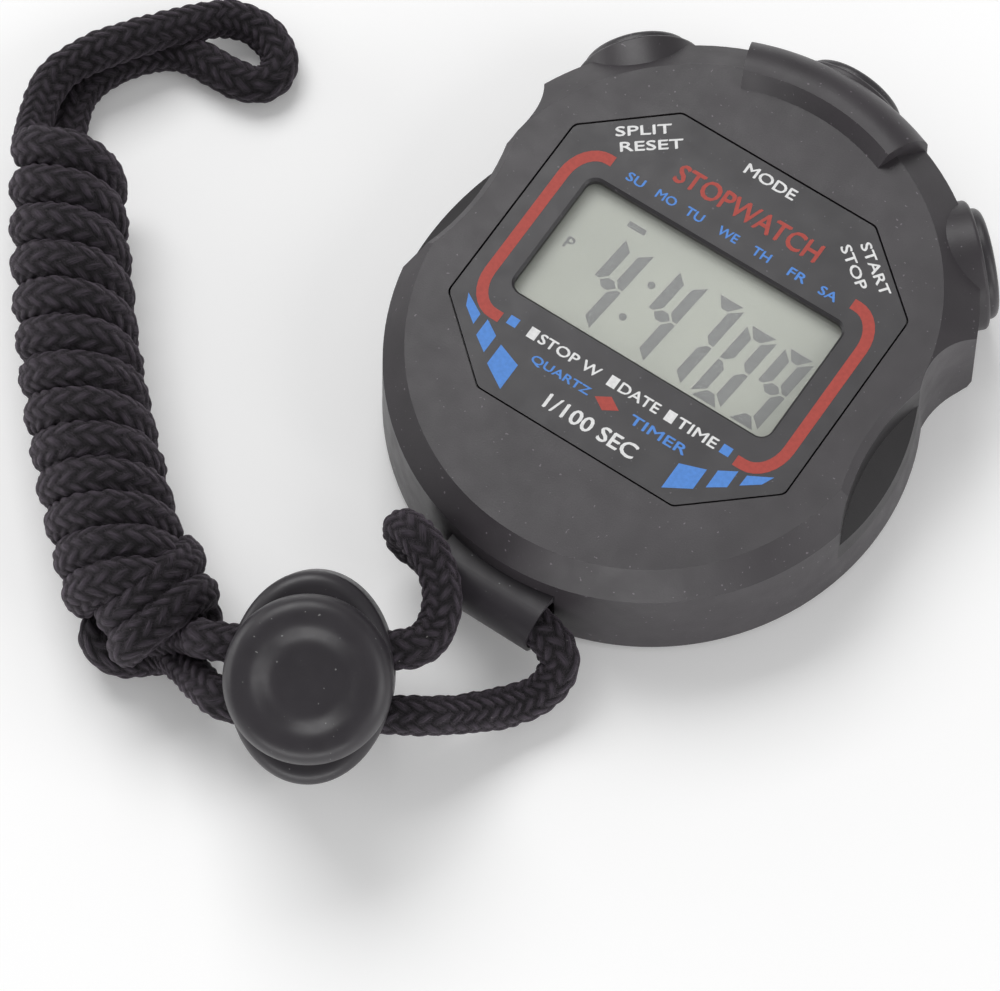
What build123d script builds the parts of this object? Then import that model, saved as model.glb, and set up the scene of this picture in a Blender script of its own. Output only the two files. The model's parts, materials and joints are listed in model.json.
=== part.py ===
from build123d import *
import math
import os

os.makedirs("parts", exist_ok=True)

# A hand-held digital stopwatch on a looped, wound cord with a spring cord lock.
# Frame: millimetres, +Z out of the dial, +Y towards the mode button. The origin is the centre
# of the case's lower circle, on the flat back that the watch rests on.

# ---------------------------------------------------------------- driving dimensions
CASE_HEIGHT = 16.5          # back face to dial face
PARTING_Z = 6.0             # joint between the back cover and the front case
FACE_LOWER_R = 28.4         # flat face, lower arc, about the origin
FACE_UPPER_R = 28.8         # flat face, upper arc, about UPPER_Y
BEVEL_LOWER_R = 31.1        # outer edge of the bevel, lower arc
BEVEL_UPPER_R = 33.1        # outer edge of the bevel, upper arc
FOOT_LOWER_R = 31.8         # lower side wall, near the back face
BEVEL_Z = 13.2              # height of the bevel's outer edge
UPPER_Y = 8.9               # centre of the upper arc and of the three buttons' axes
WALL = 1.8                  # shell thickness
FLOOR = 1.6                 # back cover thickness
CEILING_Z = 14.4            # underside of the front case's top wall
CAVITY_LOWER_R = 29.4
CAVITY_UPPER_R = 31.2
EDGE_GAP = 0.05             # clearance between pieces that sit in each other

SHOULDER_TIP = (30.24, 22.36)    # where the bevel's upper arc ends
SHOULDER_NECK = (28.15, 16.5)
SHOULDER_FOOT = (28.75, 12.4)    # where the flank meets the finger scoop
SHOULDER_END_Y = -1.0            # where the scoop's edge leaves the upper body

SCOOP_CENTRE = (56.6, 5.2)       # centre of the finger scoop's inner edge
SCOOP_R = 28.8
SCOOP_FLOOR_Z = 11.4             # floor height at the scoop's inner edge
SCOOP_TILT = 26.0                # degrees that the floor falls outwards

BUTTON_ANGLES = {"start_stop": 45, "mode": 90, "split_reset": 135}
BUTTON_Z = 7.9
BUTTON_CAP_R = 6.6
BUTTON_FACE_S = 35.2        # the cap's face, from the upper centre
BUTTON_TRAVEL = 1.2         # how far a button is pressed
BUTTON_BACK_S = 29.2        # the cap's inner end
BORE_BACK_S = BUTTON_BACK_S - BUTTON_TRAVEL - 0.4    # inner end of the bore, clear of the pressed cap
BORE_CLEARANCE = 0.3
COLLAR_R = 7.7
COLLAR_S = 33.8
SPRING_SEAT_S = 26.4        # face of the rib that the return spring bears on
STEM_R = 1.5
STEM_TIP_S = 24.8

GUARD_HALF_ANGLE = 21.5
GUARD_TOP_Z = 18.4

WINDOW = (35.3, 17.1)       # display window
DIAL_Y = 5.5                # centre of the window and of the octagonal panel
PANEL = (46.2, 42.2)        # octagonal dial panel
PANEL_FLAT = (26.8, 25.8)   # lengths of its top and side edges
PANEL_TOP_Z = 16.45
PANEL_BOTTOM_Z = 15.4
PANEL_GROOVE = 0.22

BOARD_CENTRE_Y = 4.5
BOARD_R = 24.0
BOARD_Z = 7.7
BOARD_THICKNESS = 1.0

LUG_Y = -32.9
LUG_Z = 7.1
LUG_R = 3.5
LUG_BORE_R = 2.75
LUG_HALF = 7.0
LUG_PLATE_Y = -27.2
LUG_FLARE = 0.35            # bevel inside each mouth of the bore

CORD_D = 4.6
LOCK_CENTRE = (-9.76, -54.12, 12.44)
LOCK_AXIS = (0.249, -0.316, 0.915)      # the way the plunger faces
LOCK_CORD_WAY = (0.853, 0.519, -0.059)  # along the two cord holes
LOCK_HALF_LONG = 12.0
LOCK_HALF_SHORT = 9.3
LOCK_BACK = 7.6             # body depth behind the cord holes
LOCK_FRONT = 6.4            # body depth in front of them
LOCK_HOLE_OFFSET = 3.5      # half the distance between the two holes
LOCK_HOLE_SHIFT = -0.4      # the pair of holes sits this far off the body's middle
LOCK_CAP_R = 9.5
LOCK_CAP_TOP = 13.4         # height of the cap's rim along the lock's axis
LOCK_DISH = 1.2             # how far the cap's middle lies below its rim
LOCK_TRAVEL = 2.0

HANK_START = (-75.85, -11.85)
HANK_MIDDLE = (-56.95, -35.4)
HANK_END = (-34.15, -56.1)
HANK_R = 7.4
HANK_Z = 7.8
KNOT_CENTRE = (-32.3, -57.0, 8.0)       # the hitch that closes the winding
KNOT_R = 7.9


def save(node, shape):
    """Write one node; a list becomes one compound of separate solids."""
    if isinstance(shape, (list, tuple)):
        shape = Compound(children=list(shape))
    export_step(shape, f"parts/{node}.step")


def unit(vector):
    return Vector(*vector).normalized()


def at_button(angle, s, z=BUTTON_Z):
    """Location on a button's axis, s from the upper centre, its Z axis pointing outwards."""
    way = Vector(math.cos(math.radians(angle)), math.sin(math.radians(angle)), 0)
    origin = Vector(0, UPPER_Y, z) + way * s
    return Plane(origin=origin, x_dir=(-way.Y, way.X, 0), z_dir=way).location


def along_button(angle, radius, s_from, s_to):
    """A solid round bar on a button's axis."""
    middle = (s_from + s_to) / 2
    return at_button(angle, middle) * Cylinder(radius, s_to - s_from)


def turned(points, centre_y=0.0, arc=360.0):
    """A profile of (radius, z) points turned about the vertical through (0, centre_y)."""
    profile = Plane.XZ * make_face(Polyline(*points, close=True))
    return Pos(0, centre_y, 0) * revolve(profile, Axis.Z, arc)


def half_space(z_low, z_high, size=120):
    return Pos(0, 0, (z_low + z_high) / 2) * Box(size, size, z_high - z_low)


# ---------------------------------------------------------------- case, outside
def scoop_edge_x(y):
    """Where the right scoop's upright edge crosses the line at y."""
    x, centre_y = SCOOP_CENTRE
    return x - math.sqrt(SCOOP_R ** 2 - (y - centre_y) ** 2)


def shoulder_prism(inset=0.0):
    """The upright region between the two concave flanks, open over the top."""
    tip = Vector(SHOULDER_TIP[0] - inset, SHOULDER_TIP[1])
    neck = Vector(SHOULDER_NECK[0] - inset, SHOULDER_NECK[1])
    foot = Vector(SHOULDER_FOOT[0] - inset, SHOULDER_FOOT[1])
    waist = Vector(scoop_edge_x(SCOOP_CENTRE[1]) - inset, SCOOP_CENTRE[1])
    end = Vector(scoop_edge_x(SHOULDER_END_Y) - inset, SHOULDER_END_Y)
    left = [Vector(-p.X, p.Y) for p in (tip, neck, foot, waist, end)]
    far = 45
    edge = [
        ThreePointArc(end, waist, foot),
        ThreePointArc(foot, neck, tip),
        Line(tip, (far, far)),
        Line((far, far), (-far, far)),
        Line((-far, far), left[0]),
        ThreePointArc(left[0], left[1], left[2]),
        ThreePointArc(left[2], left[3], left[4]),
        Line(left[4], end),
    ]
    return extrude(make_face(edge), 40)


def scoop(side, clearance=0.0):
    """Cutter for the finger scoop on one side: an upright round edge over a falling floor."""
    x, y = SCOOP_CENTRE
    wall = Pos(side * x, y, 20) * Cylinder(SCOOP_R + clearance, 40)
    edge_x = x - SCOOP_R - clearance
    floor_z = SCOOP_FLOOR_Z - clearance
    tilted = Box(60, 80, 30, align=(Align.CENTER, Align.CENTER, Align.MIN))
    above = Pos(side * edge_x, y, floor_z) * Rot(0, side * SCOOP_TILT, 0) * tilted
    return wall & above


def scoop_chamfer(side):
    """Small bevel along the scoop's upper edge."""
    x, y = SCOOP_CENTRE
    depth = 1.1
    lower = CASE_HEIGHT - depth
    return Pos(side * x, y, lower + depth / 2) * Cone(SCOOP_R, SCOOP_R + 0.9, depth)


def outer_body():
    lower = turned([
        (0, 0), (FOOT_LOWER_R - 1.5, 0), (FOOT_LOWER_R - 0.45, 0.45), (FOOT_LOWER_R, 1.6),
        (BEVEL_LOWER_R, BEVEL_Z), (FACE_LOWER_R, CASE_HEIGHT), (0, CASE_HEIGHT)])
    upper = turned([
        (0, 0), (BEVEL_UPPER_R - 1.5, 0), (BEVEL_UPPER_R - 0.45, 0.45), (BEVEL_UPPER_R, 1.6),
        (BEVEL_UPPER_R, BEVEL_Z), (FACE_UPPER_R, CASE_HEIGHT), (0, CASE_HEIGHT)], UPPER_Y)
    body = lower + (upper & shoulder_prism())
    for angle in BUTTON_ANGLES.values():
        collar = along_button(angle, COLLAR_R, 24, COLLAR_S)
        rim = collar.edges().filter_by(GeomType.CIRCLE).sort_by_distance(
            at_button(angle, COLLAR_S).position)[:1]
        body += fillet(rim, 0.5)
    body += guard()
    for side in (-1, 1):
        body -= scoop(side) + scoop_chamfer(side)
    return body


def guard():
    """Raised arch over the mode button."""
    profile = Plane.XZ * make_face([
        Line((25.4, 14.0), (26.1, CASE_HEIGHT)),
        Line((26.1, CASE_HEIGHT), (27.5, GUARD_TOP_Z)),
        ThreePointArc((27.5, GUARD_TOP_Z), (31.2, 17.6), (33.4, 14.4)),
        Line((33.4, 14.4), (33.4, 11.5)),
        Line((33.4, 11.5), (31.6, 11.5)),
        Line((31.6, 11.5), (25.4, 14.0)),
    ])
    arch = revolve(profile, Axis.Z, 2 * GUARD_HALF_ANGLE)
    return Pos(0, UPPER_Y, 0) * Rot(0, 0, 90 - GUARD_HALF_ANGLE) * arch


def cavity():
    lower = turned([
        (0, FLOOR), (CAVITY_LOWER_R, FLOOR), (CAVITY_LOWER_R, 12.0), (27.0, CEILING_Z),
        (0, CEILING_Z)])
    upper = turned([
        (0, FLOOR), (CAVITY_UPPER_R, FLOOR), (CAVITY_UPPER_R, 11.6), (28.0, CEILING_Z),
        (0, CEILING_Z)], UPPER_Y)
    space = lower + (upper & shoulder_prism(WALL))
    for side in (-1, 1):
        space -= scoop(side, WALL - 0.2)
    return space


def lug_recess(gap=0.1):
    """Notch in the case wall that the lug's neck passes through."""
    half = LUG_HALF + gap
    z_half = LUG_R + gap
    return Pos(0, -32, LUG_Z) * Box(2 * half, 8, 2 * z_half)


# ---------------------------------------------------------------- fixings
BACK_SCREW_PLACES = [(10.5, 34.2), (-10.5, 34.2), (18.7, -18.7), (-18.7, -18.7)]
BOARD_SCREW_PLACES = [(15.5, 19.9), (-15.5, 19.9), (15.5, -8.9), (-15.5, -8.9)]
BACK_SCREW_R = 0.85
BACK_HEAD_R = 1.7
BACK_HEAD_Z = 0.5
BOARD_SCREW_R = 0.6
BOARD_HEAD_R = 1.25


def screw(shank_r, head_r, head_h, length):
    """Pan-head screw, head down at z = 0, with a cross recess."""
    body = Pos(0, 0, head_h / 2) * Cylinder(head_r, head_h)
    body = chamfer(body.edges().filter_by(GeomType.CIRCLE).sort_by(Axis.Z)[0], 0.25)
    tip = 0.5
    body += Pos(0, 0, head_h + (length - tip) / 2) * Cylinder(shank_r, length - tip)
    body += Pos(0, 0, head_h + length - tip / 2) * Cone(shank_r, shank_r * 0.4, tip)
    for turn in (0, 90):
        body -= Pos(0, 0, 0.3) * Rot(0, 0, turn) * Box(head_r * 1.3, head_r * 0.28, 0.6)
    return body


# ---------------------------------------------------------------- the two shells
def button_bores():
    return [along_button(angle, BUTTON_CAP_R + BORE_CLEARANCE, BORE_BACK_S, BUTTON_FACE_S + 1)
            for angle in BUTTON_ANGLES.values()]


def octagon(grow=0.0):
    half_w = PANEL[0] / 2 + grow
    half_h = PANEL[1] / 2 + grow
    flat_w = PANEL_FLAT[0] / 2 + grow * 0.45
    flat_h = PANEL_FLAT[1] / 2 + grow * 0.45
    corners = [
        (flat_w, half_h), (half_w, flat_h), (half_w, -flat_h), (flat_w, -half_h),
        (-flat_w, -half_h), (-half_w, -flat_h), (-half_w, flat_h), (-flat_w, half_h)]
    face = make_face(Polyline(*corners, close=True))
    return Pos(0, DIAL_Y, 0) * fillet(face.vertices(), 1.2)


def front_case(body, space):
    shell = (body - space) & half_space(PARTING_Z, 30)
    for x, y in BACK_SCREW_PLACES:
        shell += Pos(x, y, (PARTING_Z + CEILING_Z) / 2) * Cylinder(2.3, CEILING_Z - PARTING_Z)
        shell -= Pos(x, y, 8.6) * Cylinder(BACK_SCREW_R + EDGE_GAP, 5.4)
    for x, y in BOARD_SCREW_PLACES:
        top = CEILING_Z
        low = BOARD_Z + BOARD_THICKNESS + 1.3
        shell += Pos(x, y, (top + low) / 2) * Cylinder(1.6, top - low)
        shell -= Pos(x, y, low + 1.4) * Cylinder(BOARD_SCREW_R + EDGE_GAP, 2.8)
    for angle in BUTTON_ANGLES.values():
        shell += spring_seat(angle)
    shell -= button_bores()
    shell -= Pos(0, 0, PANEL_BOTTOM_Z) * extrude(octagon(PANEL_GROOVE), 3)
    opening = WINDOW[0] + 3.4, WINDOW[1] + 3.4
    shell -= Pos(0, DIAL_Y, 15) * Box(opening[0], opening[1], 4)
    shell -= lug_recess()
    return shell


def spring_seat(angle):
    """Upright rib behind a button, with a hole for the stem."""
    thick = 0.9
    low = PARTING_Z - 2.0
    rib = at_button(angle, SPRING_SEAT_S - thick / 2, (low + 14.6) / 2) * Box(9, 14.6 - low, thick)
    hole = at_button(angle, SPRING_SEAT_S - thick / 2) * Cylinder(STEM_R + 0.25, 2)
    return rib - hole


def back_cover(body, space):
    shell = (body - space) & half_space(-1, PARTING_Z)
    for x, y in BACK_SCREW_PLACES:
        shell += Pos(x, y, PARTING_Z / 2 - 0.05) * Cylinder(2.9, PARTING_Z - 0.1)
        shell -= Pos(x, y, 3) * Cylinder(BACK_SCREW_R + 0.2, 8)
        shell -= Pos(x, y, 0.75) * Cylinder(BACK_HEAD_R + 0.2, 2.3)
    for angle in BUTTON_ANGLES.values():
        shell -= at_button(angle, SPRING_SEAT_S - 0.45, 7) * Box(9.4, 10, 1.2)
    shell -= button_bores()
    shell -= lug_recess()
    return shell


# ---------------------------------------------------------------- dial and display
def dial_panel():
    plate = Pos(0, 0, PANEL_BOTTOM_Z) * extrude(octagon(), PANEL_TOP_Z - PANEL_BOTTOM_Z)
    window = Pos(0, DIAL_Y) * RectangleRounded(*WINDOW, 1.4)
    plate -= Pos(0, 0, PANEL_BOTTOM_Z - 0.5) * extrude(window, 3)
    rim = plate.edges().filter_by_position(Axis.Z, PANEL_TOP_Z - 0.01, PANEL_TOP_Z + 0.01)
    inner = [e for e in rim if abs(e.center().X) < 18.5 and abs(e.center().Y - DIAL_Y) < 9]
    return chamfer(inner, 0.3)


def display_lens():
    return Pos(0, DIAL_Y, 15.05) * Box(WINDOW[0] + 3.0, WINDOW[1] + 3.0, 0.6)


LCD_TOP_Z = 14.3


def lcd_glass():
    """Two glass sheets, the lower one with contact ledges along both long edges."""
    upper = Pos(0, DIAL_Y, LCD_TOP_Z - 0.5) * Box(39.0, 18.6, 1.0)
    lower = Pos(0, DIAL_Y, LCD_TOP_Z - 1.5) * Box(39.0, 22.6, 1.0)
    return upper + lower


def lcd_reflector():
    return Pos(0, DIAL_Y, LCD_TOP_Z - 2.15) * Box(38.4, 18.0, 0.3)


BOARD_TOP_Z = BOARD_Z + BOARD_THICKNESS
STRIP_OFFSET = 10.2


def contact_strips():
    """Two elastomer strips between the board and the display's ledges."""
    height = LCD_TOP_Z - 2.0 - BOARD_TOP_Z
    strip = Box(36.0, 1.6, height)
    z = BOARD_TOP_Z + height / 2
    return [Pos(0, DIAL_Y + side * STRIP_OFFSET, z) * strip for side in (-1, 1)]


def display_frame():
    """Moulded holder round the display, screwed up against the case with the board."""
    top = LCD_TOP_Z - 0.1
    low = BOARD_TOP_Z
    frame = Pos(0, DIAL_Y, (top + low) / 2) * Box(42.0, 25.4, top - low)
    ledge_z = LCD_TOP_Z - 2.33
    frame -= Pos(0, DIAL_Y, ledge_z + 2) * Box(39.3, 22.9, 4)
    frame -= Pos(0, DIAL_Y, low + 1) * Box(36.4, 18.4, 12)
    for side in (-1, 1):
        frame -= Pos(0, DIAL_Y + side * STRIP_OFFSET, low + 1) * Box(36.2, 1.8, 12)
    for x, y in BOARD_SCREW_PLACES:
        frame += Pos(x, y, low + 0.6) * Cylinder(2.4, 1.2)
    for x, y in BOARD_SCREW_PLACES:
        frame -= Pos(x, y, low + 0.6) * Cylinder(BOARD_SCREW_R + 0.15, 4)
    frame -= Pos(0, DIAL_Y, low + 1) * Box(36.4, 18.4, 12)
    return frame


# ---------------------------------------------------------------- electronics
def circuit_board():
    disc = Pos(0, BOARD_CENTRE_Y, BOARD_Z + BOARD_THICKNESS / 2) * Cylinder(BOARD_R, BOARD_THICKNESS)
    for x, y in BOARD_SCREW_PLACES:
        disc -= Pos(x, y, BOARD_Z) * Cylinder(BOARD_SCREW_R + 0.15, 4)
    return disc


def chip_cover():
    """Resin drop over the timing chip."""
    ball_r = 9.0
    height = 1.3
    drop = Pos(0, DIAL_Y + 1, BOARD_TOP_Z + height - ball_r) * Sphere(ball_r)
    return drop & half_space(BOARD_TOP_Z, BOARD_TOP_Z + 5)


def quartz_crystal():
    can = Pos(12.5, DIAL_Y, BOARD_TOP_Z + 1.05) * Rot(90, 0, 0) * Cylinder(1.0, 6.0)
    return fillet(can.edges(), 0.2)


def chip_components():
    places = [(-11, 8.5), (-11, 5.5), (-11, 2.5), (-14.5, 5.5)]
    part = Box(1.6, 0.8, 0.6)
    return [Pos(x, y, BOARD_TOP_Z + 0.3) * part for x, y in places]


BATTERY_PLACE = (7.0, -8.0)
BATTERY_R = 5.8
BATTERY_Z = (2.05, 7.45)


def battery_cell():
    low, high = BATTERY_Z
    can = Cylinder(BATTERY_R, high - low - 0.5)
    can = fillet(can.edges().filter_by(GeomType.CIRCLE), 0.4)
    cell = Pos(*BATTERY_PLACE, low + 0.5 + (high - low - 0.5) / 2) * can
    return cell + Pos(*BATTERY_PLACE, low + 0.3) * Cylinder(BATTERY_R - 1.2, 0.6)


def battery_contacts():
    """Positive strap on the board over the cell, and the negative leaf under it."""
    x, y = BATTERY_PLACE
    strap = Pos(x, y, 7.59) * Box(4.0, 14.0, 0.2)
    strap += Pos(x, y - 6.9, 6.04) * Box(4.0, 0.2, 3.3)
    leaf = Pos(x, y + 3.0, 1.85) * Box(4.0, 12.0, 0.25)
    leaf += Pos(x, y + 8.9, 4.7) * Box(4.0, 0.25, 5.8)
    return [strap, leaf]


BUZZER_PLACE = (-11.5, 3.0)


def piezo_buzzer():
    disc = Pos(*BUZZER_PLACE, FLOOR + 0.15) * Cylinder(10.0, 0.3)
    return disc + Pos(*BUZZER_PLACE, FLOOR + 0.4) * Cylinder(7.2, 0.2)


def coil(radius, wire_r, length, turns):
    """Helical spring standing on z = 0."""
    path = Helix(pitch=(length - 2 * wire_r) / turns, height=length - 2 * wire_r, radius=radius)
    start = path @ 0
    profile = Plane(origin=start, z_dir=path % 0) * Circle(wire_r)
    return Pos(0, 0, wire_r) * sweep(profile, path, is_frenet=True)


def buzzer_springs():
    """Two small coils that carry the buzzer's signal down from the board."""
    low = FLOOR + 0.5
    spring = coil(1.1, 0.18, BOARD_Z - low - 0.05, 5)
    x, y = BUZZER_PLACE
    inner = Pos(x, y, low + 0.02) * spring
    outer = Pos(x + 8.6, y, low - 0.18) * spring
    return [inner, outer]


def button_contacts():
    """Leaf contacts on the board's edge, one behind each button's stem."""
    leaves = []
    for angle in BUTTON_ANGLES.values():
        foot_from, foot_to = 18.4, 23.3
        upright = at_button(angle, foot_to - 0.1, 8.9) * Box(3.0, 2.4, 0.2)
        foot = at_button(angle, (foot_from + foot_to) / 2, 7.6) * Box(3.0, 0.2, foot_to - foot_from)
        leaves.append(upright + foot)
    return leaves


# ---------------------------------------------------------------- buttons
def push_button(angle):
    cap = along_button(angle, BUTTON_CAP_R, BUTTON_BACK_S, BUTTON_FACE_S)
    rim = cap.edges().filter_by(GeomType.CIRCLE).sort_by_distance(
        at_button(angle, BUTTON_FACE_S).position)[:1]
    cap = fillet(rim, 0.9)
    ears = at_button(angle, BUTTON_BACK_S + 0.4) * Box(14.8, 5.0, 0.8)
    ears &= turned([(0, 0), (CAVITY_UPPER_R - 0.35, 0), (CAVITY_UPPER_R - 0.35, 16), (0, 16)],
                   UPPER_Y)
    stem = along_button(angle, STEM_R, STEM_TIP_S, BUTTON_BACK_S + 0.5)
    socket = along_button(angle, 3.3, BUTTON_BACK_S - 0.5, BUTTON_BACK_S + 1.6)
    return cap - socket + ears - socket + stem + along_button(angle, STEM_R, 29, 31)


def return_spring(angle):
    wire_r = 0.2
    length = BUTTON_BACK_S + 1.5 - SPRING_SEAT_S
    return at_button(angle, SPRING_SEAT_S + 0.05) * coil(2.4, wire_r, length, 4)


# ---------------------------------------------------------------- cord fittings
def lanyard_lug():
    """Tube under the case edge with a neck through the wall and an anchor plate inside."""
    tube = Pos(0, LUG_Y, LUG_Z) * Rot(0, 90, 0) * Cylinder(LUG_R, 2 * LUG_HALF)
    neck_length = LUG_PLATE_Y - LUG_Y
    neck = Pos(0, LUG_Y + neck_length / 2, LUG_Z) * Box(2 * LUG_HALF, neck_length, 2 * LUG_R)
    plate = Pos(0, LUG_PLATE_Y, LUG_Z) * Box(18.0, 1.2, 7.8)
    bore = Pos(0, LUG_Y, LUG_Z) * Rot(0, 90, 0) * Cylinder(LUG_BORE_R, 2 * LUG_HALF + 1)
    flare = Cone(LUG_BORE_R + LUG_FLARE, LUG_BORE_R, LUG_FLARE)
    body = tube + neck + plate - bore
    for side in (-1, 1):
        mouth = Pos(side * (LUG_HALF - LUG_FLARE / 2), LUG_Y, LUG_Z)
        body -= mouth * Rot(0, -90 * side, 0) * flare
    return body


def lock_plane():
    axis = unit(LOCK_AXIS)
    cord_way = unit(LOCK_CORD_WAY)
    cord_way = (cord_way - axis * cord_way.dot(axis)).normalized()
    return Plane(origin=LOCK_CENTRE, x_dir=cord_way, z_dir=axis)


# Lock frame: X along the cord holes, Y along the body's long side, Z the way the plunger faces.
LOCK_HOLE_R = CORD_D / 2 + 0.35
STEM_HALF = (5.6, 8.0)


def hole_y(side):
    return LOCK_HOLE_SHIFT + side * LOCK_HOLE_OFFSET


def lock_holes():
    return [Pos(0, hole_y(side), 0) * Rot(0, 90, 0) * Cylinder(LOCK_HOLE_R, 40)
            for side in (-1, 1)]


def lock_body():
    depth = LOCK_BACK + LOCK_FRONT
    body = Pos(0, 0, -LOCK_BACK) * extrude(Ellipse(LOCK_HALF_SHORT, LOCK_HALF_LONG), depth)
    body = fillet([body.edges().sort_by(Axis.Z)[0]], 2.6)
    body = fillet([body.edges().sort_by(Axis.Z)[-1]], 1.6)
    gap = 0.3
    well = extrude(RectangleRounded(2 * (STEM_HALF[0] + gap), 2 * (STEM_HALF[1] + gap), 2.7), 30)
    body -= Pos(0, 0, -LOCK_BACK + 1.6) * well
    for hole in lock_holes():
        body -= hole
    return body


PLUNGER_BOTTOM = -3.2


def lock_plunger():
    cap_back = LOCK_FRONT + LOCK_TRAVEL + 0.4
    rim_r = LOCK_CAP_R * 0.74           # radius of the rim's highest ring
    dish_r = LOCK_CAP_R * 0.36          # radius of the dish's flat middle
    dish_z = LOCK_CAP_TOP - LOCK_DISH
    profile = make_face([
        Line((0, cap_back), (LOCK_CAP_R - 1.2, cap_back)),
        ThreePointArc((LOCK_CAP_R - 1.2, cap_back), (LOCK_CAP_R - 0.3, cap_back + 0.4),
                      (LOCK_CAP_R, cap_back + 1.4)),
        Spline((LOCK_CAP_R, cap_back + 1.4), (rim_r, LOCK_CAP_TOP), tangents=[(0, 1), (-1, 0)]),
        Spline((rim_r, LOCK_CAP_TOP), (dish_r, dish_z), tangents=[(-1, 0), (-1, 0)]),
        Line((dish_r, dish_z), (0, dish_z)),
        Line((0, dish_z), (0, cap_back)),
    ])
    cap = revolve(Plane.XZ * profile, Axis.Z)
    stem = RectangleRounded(2 * STEM_HALF[0], 2 * STEM_HALF[1], 2.4)
    stem_bar = Pos(0, 0, PLUNGER_BOTTOM) * extrude(stem, cap_back - PLUNGER_BOTTOM + 1.0)
    slot_low = -CORD_D / 2 - 0.3
    slot_high = CORD_D / 2 + LOCK_TRAVEL + 0.5
    slot = Box(40, CORD_D + 0.9, slot_high - slot_low)
    for side in (-1, 1):
        stem_bar -= Pos(0, hole_y(side), (slot_low + slot_high) / 2) * slot
    return cap + stem_bar


def lock_spring():
    low = -LOCK_BACK + 1.6
    return Pos(0, 0, low) * coil(3.6, 0.35, PLUNGER_BOTTOM - low, 2)


# ---------------------------------------------------------------- the cord
def lock_point(along, side):
    """A point on the line of one cord hole; side is 1 for the far hole and -1 for the near one."""
    plane = lock_plane()
    return plane.from_local_coords(Vector(along, hole_y(side), 0))


# From the lug's left mouth, folded back over the lug, through the far hole to the hitch.
STRAND_LEFT = [
    (-1.2, -32.75, 7.4), (-6.5, -32.85, 7.0), (-11.2, -33.1, 5.9), (-13.6, -33.2, 10.2),
    (-9.6, -33.9, 14.0), (-5.2, -35.7, 13.6), (-2.2, -38.8, 13.0), (-0.9, -42.6, 12.2),
    tuple(lock_point(10.8, 1)), tuple(lock_point(-12.0, 1)), (-24.2, -56.4, 10.8),
    (-28.2, -55.4, 10.0)]
# From the lug's right mouth, down to the rest surface, through the near hole to the hitch.
STRAND_RIGHT = [
    (1.2, -32.8, 7.15), (6.2, -32.9, 7.1), (11.0, -33.2, 6.8), (11.4, -38.3, 3.6),
    (8.4, -42.6, 3.6), (5.2, -47.2, 6.8), tuple(lock_point(12.0, -1)),
    tuple(lock_point(-10.2, -1)), (-19.8, -62.6, 10.2), (-22.8, -61.0, 7.2), (-26.2, -60.4, 5.2)]
# The free loop beyond the hank's far end.
LOOP = [
    (-77.0, -15.6, 6.9), (-80.9, -12.6, 6.2), (-82.8, -7.0, 6.2), (-81.2, -2.2, 6.3),
    (-77.5, 3.0, 6.2), (-73.9, 8.9, 4.6), (-70.6, 13.5, 3.0), (-65.5, 14.2, 2.5),
    (-61.3, 11.6, 2.4), (-62.0, 7.4, 2.4), (-66.4, 6.5, 2.4), (-71.6, 6.2, 2.4),
    (-75.4, 3.6, 2.4), (-77.5, -0.7, 2.4), (-78.2, -5.0, 2.6), (-76.6, -9.2, 3.4),
    (-74.0, -13.2, 5.0)]


def cord_tube(name, points):
    """Plain tube of straight runs and tangent arcs, each arc as large as its runs allow."""
    points = [Vector(*p) for p in points]
    radii = []
    for before, here, after in zip(points, points[1:], points[2:]):
        turn = (here - before).get_angle(after - here)
        shorter = min((here - before).length, (after - here).length)
        radii.append(0.45 * shorter / math.tan(math.radians(turn / 2)))
    path = FilletPolyline(*points, radius=radii)
    tube = sweep(Plane(origin=path @ 0, z_dir=path % 0) * Circle(CORD_D / 2), path)
    section = math.pi * (CORD_D / 2) ** 2
    print(f"{name}: length {path.length:.1f} mm, smallest radius {min(radii):.1f} mm, "
          f"volume {tube.volume:.0f} mm3 against {section * path.length:.0f} mm3")
    print("   radii", [round(r, 1) for r in radii])
    return tube


def cord_hank():
    """Closed outer shape of the wound cord: a bent round bar with domed ends and the hitch."""
    start = Vector(*HANK_START, HANK_Z)
    end = Vector(*HANK_END, HANK_Z)
    path = ThreePointArc(start, (*HANK_MIDDLE, HANK_Z), end)
    bar = sweep(Plane(origin=path @ 0, z_dir=path % 0) * Circle(HANK_R), path)
    bar = fillet(bar.edges().filter_by(GeomType.CIRCLE), 2.0)
    return bar + Pos(*KNOT_CENTRE) * Sphere(KNOT_R)


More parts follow.
